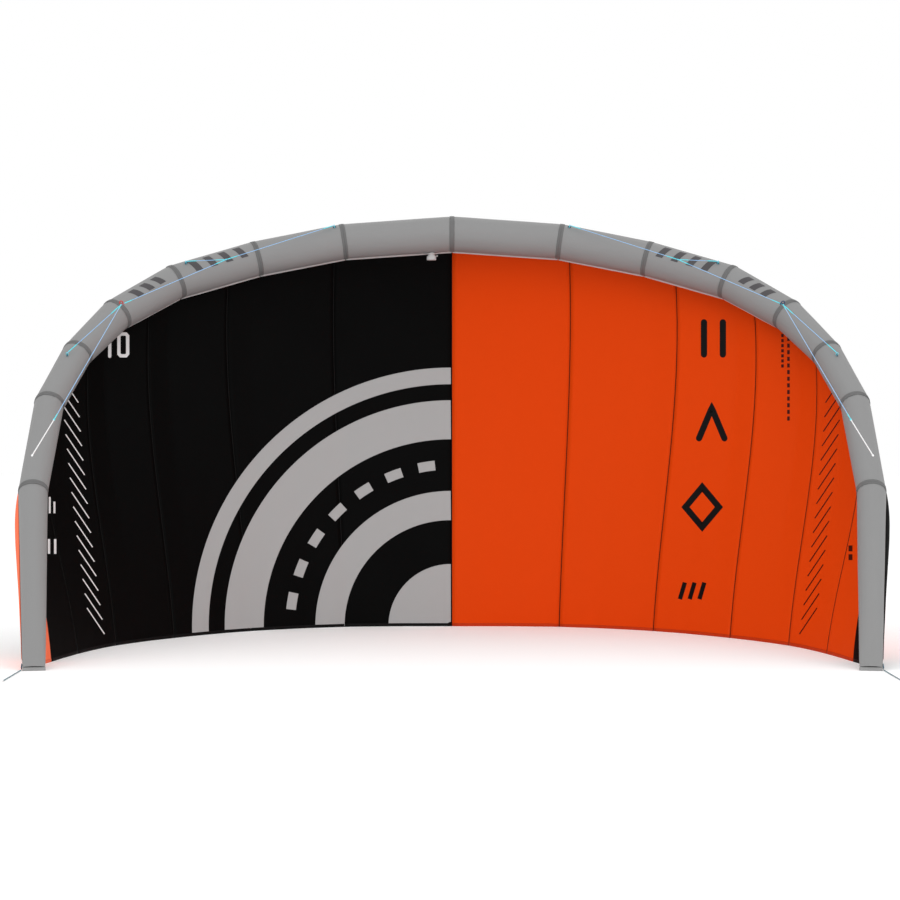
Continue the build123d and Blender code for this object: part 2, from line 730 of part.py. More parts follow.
def cords_of(side):
    """Start, end and radius of every cord of one side."""
    a = place(side, *BRIDLE_A)
    b = place(side, *BRIDLE_B)
    c = place(side, *BRIDLE_C)
    j1 = place(side, *BRIDLE_J1)
    j2 = place(side, *BRIDLE_J2)
    e = place(side, *BRIDLE_E)
    return {
        "bridle_line_inner": (a, j1, LINE_R),
        "bridle_line_middle": (b, j1, LINE_R),
        "bridle_line_link": (j1, j2, LINE_R),
        "bridle_line_outer": (c, j2, LINE_R),
        "bridle_line_main": (j2, e, LINE_R),
        "front_pigtail": (e, place(side, *BRIDLE_F), PIGTAIL_R),
        "rear_pigtail": (place(side, *REAR_START), place(side, *REAR_END), PIGTAIL_R),
    }


def cord_solid(start, end, radius):
    """Straight taut cord, shortened at both ends by the gap to what it meets."""
    along = (end - start).normalized()
    return frustum(start + along * CORD_END_GAP, end - along * CORD_END_GAP, radius, radius)


def webbing_tab(foot, target, along):
    """Flat webbing tab that stands on the tube and reaches to a cord's loop."""
    rise = (target - foot).normalized()
    along = (along - rise * along.dot(rise)).normalized()
    across = rise.cross(along).normalized()
    height = (target - foot).length - TAB_SHORT
    corner = foot - along * TAB_WIDTH / 2 - across * TAB_THICK / 2
    return Solid.make_box(TAB_WIDTH, TAB_THICK, height, Plane(origin=corner, x_dir=along, z_dir=rise))


def tab_foot(side, joint, target):
    """Point on the tube right below a tab's eye."""
    centre, radius = le_axis(side, joint)
    along = le_direction(side, joint)
    rise = target - centre
    rise = (rise - along * rise.dot(along)).normalized()
    return centre + rise * (radius + TAB_LIFT)


def webbing_tabs(side):
    """The three bridle tabs on the tube and the rear line tab at the tip of one side."""
    tabs = []
    for joint, point in zip(TAB_JOINTS, (BRIDLE_A, BRIDLE_B, BRIDLE_C)):
        target = place(side, *point)
        tabs.append(webbing_tab(tab_foot(side, joint, target), target, le_direction(side, joint)))
    foot = place(side, *REAR_TAB_FOOT)
    across = Vector(0, REAR_TAB_TURN, 1 - REAR_TAB_TURN)
    tabs.append(webbing_tab(foot, place(side, *REAR_START), across))
    return tabs


def bridle_sleeves(side):
    """Doubled, spliced ends of the bridle lines where they are looped together."""
    sleeves = []
    for name, (start, end, radius) in cords_of(side).items():
        if not name.startswith("bridle"):
            continue
        along = (end - start).normalized()
        length = (end - start).length
        for low in (SLEEVE_FROM_END, length - SLEEVE_FROM_END - SLEEVE_LENGTH):
            first = start + along * low
            last = first + along * SLEEVE_LENGTH
            outer = frustum(first, last, SLEEVE_R, SLEEVE_R)
            bore = radius + SLEEVE_CLEARANCE
            inner = frustum(first - along * CUT_PAST, last + along * CUT_PAST, bore, bore)
            sleeves.append(as_solid(outer - inner))
    return sleeves


# ---------------------------------------------------------------- building and exporting

def build_nodes():
    """Every named piece of the kite; a list is a group of separate solids."""
    nodes = {}
    for side_name, side in SIDES.items():
        for joint in range(LAST_SEGMENT + 1):
            nodes[f"le_tube_{side_name}_{joint + 1}"] = le_segment(side, joint)
        for seam in range(len(SEAMS) - 1):
            nodes[f"canopy_panel_{side_name}_{seam + 1}"] = canopy_panel(side, seam)
        for name, (start, end, radius) in cords_of(side).items():
            nodes[f"{name}_{side_name}"] = cord_solid(start, end, radius)
    both = list(SIDES.values())
    joints = range(1, LAST_SEGMENT + 1)
    nodes["le_joint_bands"] = [le_band(1, 0)] + [le_band(s, j) for s in both for j in joints]
    nodes["le_closing_seam"] = [strip for s in both for strip in closing_strip(s)]
    nodes["tip_flaps"] = [tip_flap(s) for s in both]
    seams = range(len(SEAMS) - 1)
    tapes = [seam_tape(s, seam) for s in both for seam in seams if seam > 0]
    nodes["panel_seam_tapes"] = [seam_tape(1, 0)] + tapes
    nodes["trailing_edge_hem"] = [te_hem(s, seam) for s in both for seam in seams]
    nodes["le_bladder"] = bladder()
    nodes["webbing_tabs"] = [tab for s in both for tab in webbing_tabs(s)]
    nodes["bridle_sleeves"] = [sleeve for s in both for sleeve in bridle_sleeves(s)]
    nodes["valve_neck"] = valve_neck()
    nodes["valve_hinge_pin"] = valve_pin()
    nodes["valve_cap"] = valve_cap()
    nodes["valve_flap"] = valve_flap()
    nodes["valve_patch"] = valve_patch()
    return nodes


def write_node(name, shape):
    """One STEP file per node."""
    if isinstance(shape, list):
        shape = Compound(children=shape)
    shape.label = name
    export_step(shape, f"parts/{name}.step")


os.makedirs("parts", exist_ok=True)
for node_name, node_shape in build_nodes().items():
    write_node(node_name, node_shape)
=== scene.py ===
import math

import bpy
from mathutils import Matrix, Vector, noise
from mathutils.bvhtree import BVHTree


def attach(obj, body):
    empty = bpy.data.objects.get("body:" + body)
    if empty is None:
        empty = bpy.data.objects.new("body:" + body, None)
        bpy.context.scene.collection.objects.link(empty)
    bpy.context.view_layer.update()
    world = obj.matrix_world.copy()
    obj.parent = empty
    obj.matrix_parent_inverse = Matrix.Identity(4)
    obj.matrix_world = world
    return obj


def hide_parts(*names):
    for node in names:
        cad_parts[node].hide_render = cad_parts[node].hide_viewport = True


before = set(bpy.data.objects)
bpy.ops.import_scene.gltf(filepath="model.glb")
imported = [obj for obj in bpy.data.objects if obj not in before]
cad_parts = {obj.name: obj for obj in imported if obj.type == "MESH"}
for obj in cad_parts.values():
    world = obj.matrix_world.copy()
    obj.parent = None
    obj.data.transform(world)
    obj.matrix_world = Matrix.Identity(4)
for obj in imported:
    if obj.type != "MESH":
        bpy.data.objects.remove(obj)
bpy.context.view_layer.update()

# ---- shape of the kite, in metres

SIDES = {"left": -1, "right": 1}
APEX_Y = 0.91387
FLOOR_LIFT = 0.00006

# leading edge joints: half-span, height, distance in front of the apex, tube radius
LE_JOINTS = [
    (0.0, 2.013, 0.0, 0.0895),
    (0.555, 1.972, 0.020, 0.0890),
    (0.994, 1.878, 0.090, 0.0875),
    (1.388, 1.749, 0.220, 0.0860),
    (1.650, 1.570, 0.420, 0.0805),
    (1.796, 1.364, 0.680, 0.0710),
    (1.868, 1.117, 0.990, 0.0675),
    (1.853, 0.722, 1.420, 0.0640),
    (1.718, 0.013, 2.052, 0.0470),
]
# panel seams: joint number on the leading edge, trailing edge half-span and distance forward
SEAMS = [
    (0.0, 0.0, 0.0),
    (1.09, 0.548, 0.042),
    (2.30, 1.004, 0.280),
    (3.31, 1.336, 0.645),
    (4.40, 1.554, 1.020),
    (5.65, 1.659, 1.395),
    (6.00, 1.711, 1.725),
    (7.95, 1.760, 2.024),
]
LAST_STATION = len(SEAMS) - 1
LAST_SEGMENT = len(LE_JOINTS) - 2
TE_HEIGHT = 0.001
CAMBERS = [0.090, 0.080, 0.058, 0.042, 0.038, 0.046, 0.052, 0.020]
CANOPY_GAP = 0.0024
SPAN_STEP = 0.3
TIP_TURN_START = 6.0
TIP_TURN_END = 6.4
PINCH_START = 0.55
PINCH_POWER = 1.6
TIP_HALF_HEIGHT = 0.009
BAND_HALF = 0.012
BAND_LIFT = 0.0006
BAND_THICK = 0.0009
SEAM_FOLD_HALF = 0.0018
TAB_JOINTS = (1.08, 2.84, 5.28)
TAPE_HALF = 0.006
TAPE_LOW = 0.00105
TAPE_HIGH = 0.00165
FOLD_LOW = -0.0005
FOLD_HIGH = 0.00005
HEM_WIDTH = 0.016

BRIDLE = {
    "a": (0.599, 2.048, 0.086),
    "b": (1.331, 1.848, 0.266),
    "c": (1.818, 1.362, 0.820),
    "j1": (1.117, 1.846, 0.375),
    "j2": (1.579, 1.598, 0.720),
    "e": (1.630, 1.029, 2.080),
    "f": (1.639, 0.882, 2.470),
    "rear_start": (1.769, 0.0026, 2.060),
    "rear_end": (1.757, 0.0026, 2.472),
}


def place(side, half_span, height, forward):
    """A point of one side in the kite's frame."""
    return Vector((side * half_span, APEX_Y - forward, height + FLOOR_LIFT))


def mix(a, b, share):
    return a + (b - a) * share


def le_axis(side, joint):
    """Centre line point and radius of the leading edge at a joint number."""
    first = min(int(joint), LAST_SEGMENT)
    share = joint - first
    values = [mix(a, b, share) for a, b in zip(LE_JOINTS[first], LE_JOINTS[first + 1])]
    return place(side, *values[:3]), values[3]


def le_direction(side, joint):
    """Unit vector along the tube, towards the tip."""
    first = min(int(joint), LAST_SEGMENT)
    return (le_axis(side, first + 1)[0] - le_axis(side, first)[0]).normalized()


def mitre_normal(side, joint):
    """Normal of the mitre plane at a whole joint number, facing the tip."""
    if joint == 0:
        return Vector((side, 0, 0))
    return (le_direction(side, joint - 1) + le_direction(side, joint)).normalized()


def joint_direction(side, joint):
    """Direction of the tube, turning evenly between joints."""
    first = min(int(joint), LAST_SEGMENT)
    return mix(mitre_normal(side, first), mitre_normal(side, first + 1), joint - first).normalized()


def seam_value(column, station):
    """One column of the seam table, smoothly interpolated between seams."""
    first = min(int(station), LAST_STATION - 1)
    t = station - first
    p1 = SEAMS[first][column]
    p2 = SEAMS[first + 1][column]
    mirror_sign = -1 if column == 1 else 1
    before = SEAMS[first - 1][column] if first > 0 else mirror_sign * SEAMS[1][column]
    after = SEAMS[first + 2][column] if first + 2 <= LAST_STATION else 2 * p2 - p1
    return (
        (2 * t**3 - 3 * t**2 + 1) * p1
        + (t**3 - 2 * t**2 + t) * (p2 - before) / 2
        + (3 * t**2 - 2 * t**3) * p2
        + (t**3 - t**2) * (after - p1) / 2
    )


def seam_joint(station):
    """Where a canopy station meets the leading edge, in joint numbers."""
    first = min(int(station), LAST_STATION - 1)
    return mix(SEAMS[first][0], SEAMS[first + 1][0], station - first)


def station_of_joint(joint):
    """The reverse of seam_joint."""
    for first in range(LAST_STATION):
        low, high = SEAMS[first][0], SEAMS[first + 1][0]
        if joint <= high:
            return first + (joint - low) / (high - low)
    return float(LAST_STATION)


def te_point(side, station):
    return place(side, seam_value(1, station), TE_HEIGHT, seam_value(2, station))


def chord_middle(side, station):
    return (le_axis(side, seam_joint(station))[0] + te_point(side, station)) / 2


def level_across(side):
    """Level direction across the last tube segment, away from the centre."""
    return le_direction(side, LAST_SEGMENT).cross(Vector((0, 0, 1))).normalized() * -side


def outward(side, station):
    """Unit vector out of the arch, square to chord and span; it turns level at the tip."""
    square_at = min(station, TIP_TURN_END)
    low = max(square_at - SPAN_STEP, 0.0)
    high = min(square_at + SPAN_STEP, LAST_STATION)
    span = chord_middle(side, high) - chord_middle(side, low)
    if station == 0:
        span = Vector((side, 0, 0))
    chord = te_point(side, square_at) - le_axis(side, seam_joint(square_at))[0]
    square = span.cross(chord).normalized() * side
    turn = max(0.0, (station - TIP_TURN_START) / (LAST_STATION - TIP_TURN_START))
    return mix(square, level_across(side), turn).normalized()


def out_of_tube(side, joint):
    """Outward direction at a joint number, square to the tube."""
    out = outward(side, station_of_joint(joint))
    along = joint_direction(side, joint)
    return (out - along * out.dot(along)).normalized()


def camber_share(station):
    first = min(int(station), LAST_STATION - 1)
    return mix(CAMBERS[first], CAMBERS[first + 1], station - first)


def canopy_rib(side, station):
    """Both ends, outward direction and camber of one chord line."""
    joint = seam_joint(station)
    centre, radius = le_axis(side, joint)
    out = out_of_tube(side, joint)
    slant = out.dot(le_direction(side, joint))
    start = centre + out * ((radius + CANOPY_GAP) / math.sqrt(1 - slant**2))
    end = te_point(side, station)
    camber = camber_share(station) * (end - start).length
    return start, end, outward(side, station), camber


def rib_stations():
    """Stations between which the canopy is ruled."""
    stations = {float(seam) for seam in range(LAST_STATION + 1)}
    stations.update(round(station_of_joint(joint), 6) for joint in range(1, 8))
    ordered = sorted(stations)
    middles = [(a + b) / 2 for a, b in zip(ordered, ordered[1:]) if b - a > 0.17]
    return sorted(stations.union(middles))


RIBS = rib_stations()
RIB_SHAPES = {(side, s): canopy_rib(side, s) for side in (-1, 1) for s in RIBS}


def canopy_point(side, station, share, lift=0.0):
    """Point of the canopy; share runs from the leading to the trailing edge."""
    if station < 0:
        side, station = -side, -station
    for low, high in zip(RIBS, RIBS[1:]):
        if station <= high:
            break
    pair = []
    for rib in (low, high):
        start, end, out, camber = RIB_SHAPES[(side, rib)]
        height = camber * 6.75 * share * (1 - share) ** 2
        pair.append(start + (end - start) * share + out * (height + lift))
    return mix(*pair, (station - low) / (high - low))


def billow(station, share):
    """Bulge of the cloth between two seams."""
    across = station - math.floor(station)
    arch = 4 * across * (1 - across)
    along = math.sin(math.pi * min(1.0, share * 1.06) ** 0.8) if share < 0.943 else 0.0
    return 0.006 * arch * max(0.0, along)


def cloth_point(side, station, share, lift=0.0):
    """Point of the visible cloth, with its bulge."""
    return canopy_point(side, station, share, lift + billow(abs(station), share))


# ---- mesh helpers

def add_object(name, data):
    """Scene object of a mesh, curve, light or camera."""
    obj = bpy.data.objects.new(name, data)
    bpy.context.scene.collection.objects.link(obj)
    return obj


def new_object(name, verts, faces, material, uvs=None):
    """Smooth-shaded mesh; uvs holds one pair per vertex, in metres."""
    mesh = bpy.data.meshes.new(name)
    mesh.from_pydata(verts, [], faces)
    mesh.materials.append(material)
    if uvs is not None:
        layer = mesh.uv_layers.new(name="metres")
        for loop in mesh.loops:
            layer.data[loop.index].uv = uvs[loop.vertex_index]
    for polygon in mesh.polygons:
        polygon.use_smooth = True
    return add_object(name, mesh)


def grid_faces(columns, rows, closed=False, offset=0, flip=False):
    """Quads of a grid stored column by column; closed joins the last row to the first."""
    faces = []
    for c in range(columns - 1):
        for r in range(rows if closed else rows - 1):
            n = (r + 1) % rows
            quad = [c * rows + r, (c + 1) * rows + r, (c + 1) * rows + n, c * rows + n]
            faces.append([offset + i for i in (reversed(quad) if flip else quad)])
    return faces


def slab(name, columns, material):
    """Closed thin sheet from columns of (inner point, outer point, map place)."""
    rows = len(columns[0])
    entries = [entry for column in columns for entry in column]
    count = len(entries)
    inner, outer, uvs = zip(*entries)
    faces = grid_faces(len(columns), rows) + grid_faces(len(columns), rows, offset=count, flip=True)
    rim = [*range(0, count, rows), *range(count - rows + 1, count)]
    rim += [*range(count - rows - 1, 0, -rows), *range(rows - 2, 0, -1)]
    for a, b in zip(rim, rim[1:] + rim[:1]):
        faces.append([b, a, a + count, b + count])
    return new_object(name, inner + outer, faces, material, uvs + uvs)


def goes_with(obj, body="kite"):
    """The piece rides on a body."""
    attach(obj, body)


def stands_for(obj, node, body="kite"):
    """The piece shows in place of a node, whose part is hidden."""
    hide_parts(node)
    goes_with(obj, body)


def steps(low, high, count):
    return [mix(low, high, i / count) for i in range(count + 1)]


def turns(count):
    """Angles of evenly spaced points round a circle."""
    return [2 * math.pi * i / count for i in range(count)]


def on_both_sides(last):
    """Pairs of side and number: the centre, then 1 to the last on each side."""
    return [(1, 0)] + [(side, number) for side in SIDES.values() for number in range(1, last + 1)]


# ---- canopy

PANEL_COLUMNS = 22
PANEL_ROWS = 56
PANEL_GAP = 0.002
CLOTH_LOW = 0.0001
CLOTH_HIGH = 0.0007

# chordwise steps, closer together near the tube and the trailing edge
CHORD_SHARES = [
    0.0,
    *(0.5 - 0.5 * math.cos(math.pi * mix(0.04, 0.97, i / PANEL_ROWS)) for i in range(1, PANEL_ROWS)),
    1.0,
]


def canopy_panel(side_name, side, seam, material):
    """Cloth panel between two seams, with its flat width and length and its area."""
    last = seam + 1 if seam + 1 == LAST_STATION else seam + 1 - PANEL_GAP
    columns, inner = [], []
    middle = len(CHORD_SHARES) // 2
    across = 0.0
    for station in steps(seam + PANEL_GAP, last, PANEL_COLUMNS):
        points = [cloth_point(side, station, v, CLOTH_LOW) for v in CHORD_SHARES]
        if inner:
            across += (points[middle] - inner[-1][middle]).length
        down = [0.0]
        for above, point in zip(points, points[1:]):
            down.append(down[-1] + (point - above).length)
        columns.append([
            (point, cloth_point(side, station, v, CLOTH_HIGH), (across, along))
            for point, v, along in zip(points, CHORD_SHARES, down)
        ])
        inner.append(points)
    panel = slab(f"cloth_{side_name}_{seam + 1}", columns, material)
    length = max(column[-1][2][1] for column in columns)
    width = max(row_width(inner, row) for row in range(len(CHORD_SHARES)))
    return panel, width, length, sheet_area(inner)


def row_width(columns, row):
    """Width along one row, each step square to the chord it starts from."""
    total = 0.0
    for a, b in zip(columns, columns[1:]):
        chord = (a[-1] - a[0]).normalized()
        step = b[row] - a[row]
        total += (step - chord * step.dot(chord)).length
    return total


def sheet_area(columns):
    """Area of one side of a grid of points."""
    total = 0.0
    for a, b in zip(columns, columns[1:]):
        for p, q, r, s in zip(a, a[1:], b, b[1:]):
            total += ((r - p).cross(q - p).length + (s - q).cross(r - s).length) / 2
    return total


def ribbon_on_cloth(side, seam, half_width, low, high, material):
    """Tape that follows a seam on the cloth, between two heights over it."""
    columns = []
    base = min(seam, LAST_STATION - 0.03)
    for across in (-1.0, -0.5, 0.0, 0.5, 1.0):
        probe = 0.02 if across >= 0 else -0.02
        column = []
        for v in CHORD_SHARES:
            unit = (canopy_point(side, base + probe, v) - canopy_point(side, base, v)).length / abs(probe)
            station = seam + across * half_width / max(unit, 0.05)
            point = cloth_point(side, station, v, low)
            along = (point - column[0][0]).length if column else 0.0
            column.append((point, cloth_point(side, station, v, high), (across * half_width, along)))
        columns.append(column)
    return slab("ribbon", columns, material)


def te_hem(side_name, side, seam, material):
    """Folded hem on the inside of the trailing edge of one panel."""
    columns = []
    across = 0.0
    for station in steps(seam + 0.004, seam + 0.996, 16):
        chord = (canopy_point(side, station, 1.0) - canopy_point(side, station, 0.0)).length
        column = []
        for i, v in enumerate(steps(1 - HEM_WIDTH / chord, 1.0, 3)):
            low, high = (canopy_point(side, station, v, lift) for lift in (-0.0012, -0.0001))
            if columns and i == 0:
                across += (low - columns[-1][0][0]).length
            column.append((low, high, (across, HEM_WIDTH * i / 3)))
        columns.append(column)
    return slab(f"hem_{side_name}_{seam + 1}", columns, material)


# ---- leading edge

TUBE_SIDES = 64


def tube_radii(joint):
    """Wide and thin half sizes of the tube's section."""
    _, radius = le_axis(1, joint)
    share = joint - LAST_SEGMENT
    if share <= PINCH_START:
        return radius, radius
    flatness = min(1.0, (share - PINCH_START) / (1 - PINCH_START)) ** PINCH_POWER
    return radius, mix(radius, TIP_HALF_HEIGHT, flatness)


def segment_length(side, segment):
    return (le_axis(side, segment + 1)[0] - le_axis(side, segment)[0]).length


def level_pair(axis):
    """Two directions square to an axis, the first of them level."""
    across = axis.cross(Vector((0, 0, 1))).normalized()
    return across, across.cross(axis).normalized()


def tube_frame(side, segment):
    """Axis of a segment and its two cross directions."""
    axis = le_direction(side, segment)
    return axis, *level_pair(axis)


def tube_point(side, segment, distance, angle, lift=0.0):
    """Point on the tube: distance along a segment in metres, angle from the level cross direction.

    Points that would pass a mitre plane slide back along the tube onto it."""
    start, _ = le_axis(side, segment)
    end, _ = le_axis(side, segment + 1)
    axis, across, up = tube_frame(side, segment)
    joint = segment + min(1.0, max(0.0, distance / (end - start).length))
    wide, thin = tube_radii(joint if segment == LAST_SEGMENT else min(joint, segment + 0.999))
    centre = start + axis * distance
    point = centre + across * (math.cos(angle) * (wide + lift)) + up * (math.sin(angle) * (thin + lift))
    planes = [(start, mitre_normal(side, segment))]
    if segment < LAST_SEGMENT:
        planes.append((end, -mitre_normal(side, segment + 1)))
    for middle, inward in planes:
        past = (middle - point).dot(inward)
        if past > 0:
            point = point + axis * (past / axis.dot(inward))
    return point


def angle_of(side, segment, direction):
    """Angle on the tube that faces a direction."""
    _, across, up = tube_frame(side, segment)
    return math.atan2(direction.dot(up), direction.dot(across))


def pucker(side, segment, distance, length, angle):
    """Gathers of the sleeve at its joints, and slack between them."""
    near = min(distance, length - distance)
    seed = Vector((math.cos(angle) * 2.6, math.sin(angle) * 2.6, segment * 7.3 + side * 3.1))
    gathers = noise.noise(seed * 2.2) * math.exp(-near / 0.045)
    slack = noise.noise(seed + Vector((0, 0, distance * 5.0)))
    tuck = -math.exp(-near / 0.016)
    return 0.0014 * gathers + 0.0007 * slack + 0.0011 * tuck


def segment_distances(length):
    """Ring places along a segment, closer together at its joints."""
    near = [0.0, 0.004, 0.009, 0.015, 0.022, 0.031, 0.043, 0.058, 0.078, 0.102]
    middle = steps(0.13, length - 0.13, 7)
    return near + middle + [length - d for d in reversed(near)]


def le_segment(side_name, side, segment, material):
    """One sleeve segment with its gathers."""
    length = segment_length(side, segment)
    verts, uvs = [], []
    places = segment_distances(length)
    for distance in places:
        for i, angle in enumerate(turns(TUBE_SIDES)):
            lift = pucker(side, segment, distance, length, angle)
            verts.append(tube_point(side, segment, distance, angle, lift))
            uvs.append((i / TUBE_SIDES, distance))
    faces = grid_faces(len(places), TUBE_SIDES, closed=True)
    obj = new_object(f"sleeve_{side_name}_{segment + 1}", verts, faces, material, uvs)
    wrap_uv(obj, 2 * math.pi * le_axis(side, segment)[1])
    return obj


def wrap_uv(obj, girth):
    """Turns the share round the tube into metres and mends the seam where it starts again."""
    layer = obj.data.uv_layers["metres"].data
    for polygon in obj.data.polygons:
        corners = [layer[i] for i in polygon.loop_indices]
        around = [corner.uv[0] for corner in corners]
        wraps = max(around) - min(around) > 0.5
        for corner in corners:
            share, along = corner.uv
            if wraps and share < 0.5:
                share += 1.0
            corner.uv = (share * girth, along)


def mitre_shift(side, segment, joint, angle, lift):
    """How far past a joint a line on the tube meets the mitre plane."""
    _, radius = le_axis(side, joint)
    axis, across, up = tube_frame(side, segment)
    radial = (across * math.cos(angle) + up * math.sin(angle)) * (radius + lift)
    normal = mitre_normal(side, joint)
    return -radial.dot(normal) / axis.dot(normal)


def band(side, joint, material):
    """Tape ring of even width that follows both segments of a joint and its mitre."""
    before = (-side, 0, 1) if joint == 0 else (side, joint - 1, -1)
    after = (side, joint, 1)
    rows = []
    for (part_side, segment, way), order in ((before, -1), (after, 1)):
        length = segment_length(part_side, segment)
        for share in (0.0, 0.6, 1.0)[::order]:
            offset = BAND_HALF * share
            distance = offset if way > 0 else length - offset
            rows.append((part_side, segment, distance, offset * order))
    level, upright = level_pair(mitre_normal(side, joint))
    verts, uvs = [], []
    for height in (BAND_LIFT, BAND_LIFT + BAND_THICK):
        for part_side, segment, distance, offset in rows:
            for i, turn in enumerate(turns(TUBE_SIDES)):
                angle = angle_of(part_side, segment, level * math.cos(turn) + upright * math.sin(turn))
                shift = mitre_shift(part_side, segment, joint, angle, height)
                verts.append(tube_point(part_side, segment, distance + shift, angle, height))
                uvs.append((i / TUBE_SIDES * 0.5, offset))
    count = len(rows)
    outline = [*range(count), *range(2 * count - 1, count - 1, -1), 0]
    faces = [
        [outline[i // TUBE_SIDES] * TUBE_SIDES + i % TUBE_SIDES for i in quad]
        for quad in grid_faces(len(outline), TUBE_SIDES, closed=True)
    ]
    return new_object("band", verts, faces, material, uvs)


STRIP_ANGLE = math.radians(22.0)
STRIP_WIDTH = 0.011
STRIP_HALF = 0.0005


def closing_strip(side, segment, material):
    """Stitched closing seam that stands out under the tube."""
    length = segment_length(side, segment)
    last = 0.9 if segment == LAST_SEGMENT else 0.996
    columns = []
    for share in steps(0.004, last, 20):
        joint = segment + share
        centre, _ = le_axis(side, joint)
        out = out_of_tube(side, joint)
        down = joint_direction(side, joint).cross(out).normalized()
        down = down if down.z < 0 else -down
        radial = down * math.cos(STRIP_ANGLE) + out * math.sin(STRIP_ANGLE)
        across = (out * math.cos(STRIP_ANGLE) - down * math.sin(STRIP_ANGLE)) * STRIP_HALF
        reach = tube_reach(side, joint, radial)
        wave = noise.noise(Vector((share * 31.0, segment * 5.1, side)))
        foot = centre + radial * (reach - STRIP_HALF)
        edge = centre + radial * (reach + STRIP_WIDTH) + across * wave
        places = ((foot, 0.0), (edge, STRIP_WIDTH))
        columns.append([(p - across, p + across, (out_by, share * length)) for p, out_by in places])
    return slab("strip", columns, material)


def tube_reach(side, joint, direction):
    """Distance from the tube's axis to its surface in a direction square to the axis."""
    wide, thin = tube_radii(joint)
    wide_part = direction.dot(level_across(side))
    thin_part = math.sqrt(max(0.0, 1 - wide_part**2))
    return 1 / math.sqrt((wide_part / wide) ** 2 + (thin_part / thin) ** 2)


def joined(name, objects):
    """One object made of several meshes that share a material."""
    verts, faces, uvs = [], [], []
    for obj in objects:
        mesh = obj.data
        material = mesh.materials[0]
        faces += [[len(verts) + i for i in polygon.vertices] for polygon in mesh.polygons]
        verts += [vertex.co.copy() for vertex in mesh.vertices]
        uvs += [tuple(corner.uv) for corner in mesh.uv_layers["metres"].data]
        bpy.data.objects.remove(obj)
        bpy.data.meshes.remove(mesh)
    whole = new_object(name, verts, faces, material)
    layer = whole.data.uv_layers.new(name="metres")
    for corner, uv in zip(layer.data, uvs):
        corner.uv = uv
    return whole


# ---- materials

def linear(value):
    """Linear value of a colour channel given from 0 to 255."""
    value /= 255
    return value / 12.92 if value <= 0.04045 else ((value + 0.055) / 1.055) ** 2.4


def colour(rgb):
    """Shader colour of a triple, or of one number for a grey, from 0 to 255."""
    red, green, blue = rgb if isinstance(rgb, tuple) else (rgb, rgb, rgb)
    return (linear(red), linear(green), linear(blue), 1.0)


def base_material(name, rgb, roughness, sheen=0.0, shine=0.25):
    """Plain surface with its constants on the shader's own sockets."""
    material = bpy.data.materials.new(name)
    material.use_nodes = True
    sockets = material.node_tree.nodes["Principled BSDF"].inputs
    sockets["Base Color"].default_value = colour(rgb)
    sockets["Roughness"].default_value = roughness
    sockets["Sheen Weight"].default_value = sheen
    sockets["Sheen Roughness"].default_value = 0.4
    sockets["Specular IOR Level"].default_value = shine
    return material


def add_node(material, kind, values, links):
    """Shader node with values and links on its named inputs."""
    node = material.node_tree.nodes.new(kind)
    for name, value in values.items():
        node.inputs[name].default_value = value
    for name, output in links.items():
        material.node_tree.links.new(output, node.inputs[name])
    return node


def to_shader(material, output, name):
    """Leads an output to a named input of the surface's shader."""
    material.node_tree.links.new(output, material.node_tree.nodes["Principled BSDF"].inputs[name])


def metric_map(material):
    """The mesh's own map, in metres."""
    node = material.node_tree.nodes.new("ShaderNodeUVMap")
    node.uv_map = "metres"
    return node.outputs["UV"]


def object_space(material):
    return material.node_tree.nodes.new("ShaderNodeTexCoord").outputs["Object"]


def ridges(material, source, direction, pitch):
    """Soft parallel ridges with a spacing in metres."""
    values = {"Scale": 2 * math.pi / (20 * pitch)}
    node = add_node(material, "ShaderNodeTexWave", values, {"Vector": source})
    node.bands_direction = direction
    return node.outputs["Fac"]


def noise_texture(material, source, size, detail=3.0):
    values = {"Scale": 1 / size, "Detail": detail}
    return add_node(material, "ShaderNodeTexNoise", values, {"Vector": source}).outputs["Fac"]


def combine(material, operation, a, b=0.0):
    """Math node of two values, each a socket or a number."""
    node = material.node_tree.nodes.new("ShaderNodeMath")
    node.operation = operation
    for socket, value in zip(node.inputs, (a, b)):
        if isinstance(value, (int, float)):
            socket.default_value = value
        else:
            material.node_tree.links.new(value, socket)
    return node.outputs["Value"]


def crossed(material, source, operation, first, second):
    """Two sets of ridges, each given as a direction and a pitch."""
    return combine(material, operation, ridges(material, source, *first), ridges(material, source, *second))


def thread_grid(material, uv):
    """The thicker threads of ripstop cloth, in a small square grid."""
    lines = [combine(material, "POWER", ridges(material, uv, way, RIPSTOP_PITCH), 12.0) for way in "XY"]
    return combine(material, "MAXIMUM", *lines)


def add_bump(material, height, distance, strength, under=None):
    """Relief in metres, laid over another one where it is given."""
    links = {"Height": height}
    if under is not None:
        links["Normal"] = under
    node = add_node(material, "ShaderNodeBump", {"Distance": distance, "Strength": strength}, links)
    to_shader(material, node.outputs["Normal"], "Normal")
    return node.outputs["Normal"]


def vary_roughness(material, source, size, low, high):
    """Roughness that drifts between two values over a distance."""
    drift = noise_texture(material, source, size)
    node = add_node(material, "ShaderNodeMapRange", {"To Min": low, "To Max": high}, {"Value": drift})
    to_shader(material, node.outputs["Result"], "Roughness")


RIPSTOP_PITCH = 0.006
STITCH_PITCH = 0.004


def ripstop(name, rgb, roughness):
    """Canopy cloth: fine plain weave, a small grid of thicker threads and soft wrinkles."""
    material = base_material(name, rgb, roughness, shine=0.05)
    uv = metric_map(material)
    soft = add_bump(material, noise_texture(material, uv, 0.11, 4.0), 0.0022, 0.45)
    threads = add_bump(material, thread_grid(material, uv), 0.00018, 0.7, soft)
    weave = crossed(material, uv, "MULTIPLY", ("X", 0.0007), ("Y", 0.0007))
    add_bump(material, weave, 0.00006, 0.5, threads)
    vary_roughness(material, uv, 0.3, roughness - 0.05, roughness + 0.08)
    return material


